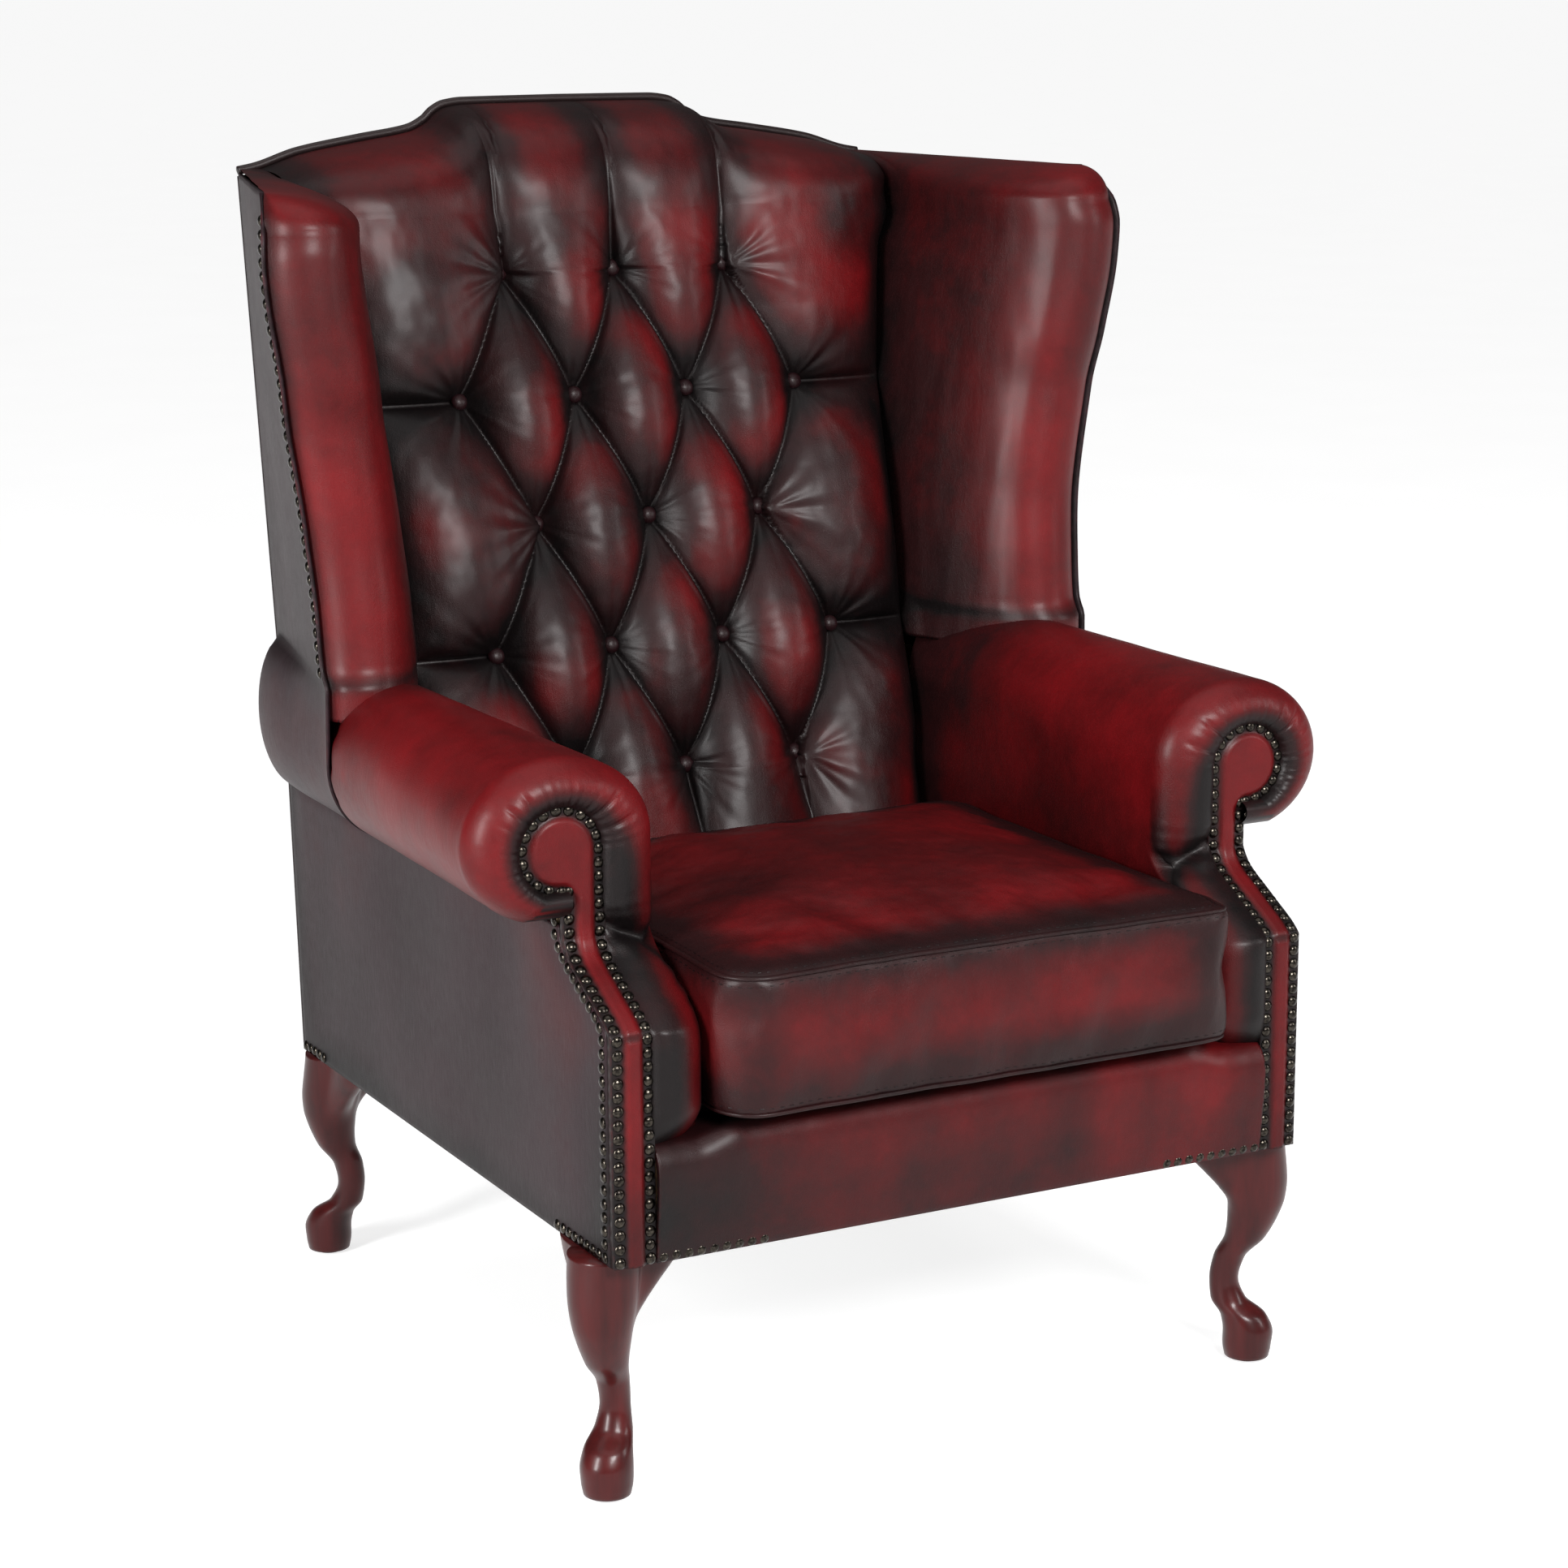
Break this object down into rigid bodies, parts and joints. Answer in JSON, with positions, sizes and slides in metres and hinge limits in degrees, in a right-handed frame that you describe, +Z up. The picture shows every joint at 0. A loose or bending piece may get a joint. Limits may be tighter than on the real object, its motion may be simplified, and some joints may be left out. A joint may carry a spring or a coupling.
{
  "type": "wingback armchair",
  "caption": "Upholstered wing armchair with a deep-buttoned reclined back, scroll arms, nailed edges, cabriole legs and a loose box cushion that lifts out.",
  "frame": {"origin": "middle of the chair's box on the floor, between the four feet", "axes": "+Z up, the chair faces -Y, +X is to the right of someone who looks at its front"},
  "size_m": [0.8278, 0.8098, 1.0637],
  "materials": {
    "leather": "antiqued oxblood leather, satin gloss, dark in the seams and worn red on the high parts",
    "dark_leather": "antiqued leather, mostly dark, satin gloss",
    "leg_wood": "polished mahogany stain, satin gloss",
    "frame_wood": "bare sawn beech",
    "nails": "antiqued bronze domed heads",
    "steel": "bright steel wire and fixings",
    "black_cloth": "woven black lining",
    "webbing": "woven jute webbing",
    "foam": "open cell upholstery foam",
    "glide": "black nylon glide"
  },
  "bodies": {
    "chair": {"front_rail": "frame_wood", "back_rail": "frame_wood", "side_rail_left": "frame_wood", "side_rail_right": "frame_wood", "corner_blocks": "frame_wood", "arm_post_left": "frame_wood", "arm_post_right": "frame_wood", "arm_rail_left": "frame_wood", "arm_rail_right": "frame_wood", "back_post_left": "frame_wood", "back_post_right": "frame_wood", "crest_rail": "frame_wood", "lower_back_rail": "frame_wood", "wing_board_left": "frame_wood", "wing_board_right": "frame_wood", "seat_springs": "steel", "spring_clips": "steel", "seat_deck": "black_cloth", "dust_cover": "black_cloth", "back_webbing": "webbing", "back_foam": "foam", "buttoned_back": "leather", "back_buttons": "dark_leather", "outside_back": "dark_leather", "crest_piping": "black_cloth", "inside_arm_left": "leather", "inside_arm_right": "leather", "outside_arm_left": "dark_leather", "outside_arm_right": "dark_leather", "arm_facing_left": "leather", "arm_facing_right": "leather", "inside_wing_left": "leather", "inside_wing_right": "leather", "outside_wing_left": "dark_leather", "outside_wing_right": "dark_leather", "front_border": "leather", "leg_front_left": "leg_wood", "leg_front_right": "leg_wood", "leg_rear_left": "leg_wood", "leg_rear_right": "leg_wood", "leg_bolts": "steel", "foot_glides": "glide", "facing_nails_left": "nails", "facing_nails_right": "nails", "side_nails_left": "nails", "side_nails_right": "nails", "wing_nails_left": "nails", "wing_nails_right": "nails", "front_nails": "nails"},
    "seat_cushion": {"cushion_core": "foam", "cushion_top": "leather", "cushion_base": "dark_leather", "cushion_boxing": "leather", "cushion_welt_top": "dark_leather", "cushion_welt_base": "dark_leather"}
  },
  "joints": [
    {"name": "cushion_lift", "type": "slide", "parent": "chair", "child": "seat_cushion", "axis": [0, 0, 1], "range_m": [0, 0.7]}
  ]
}
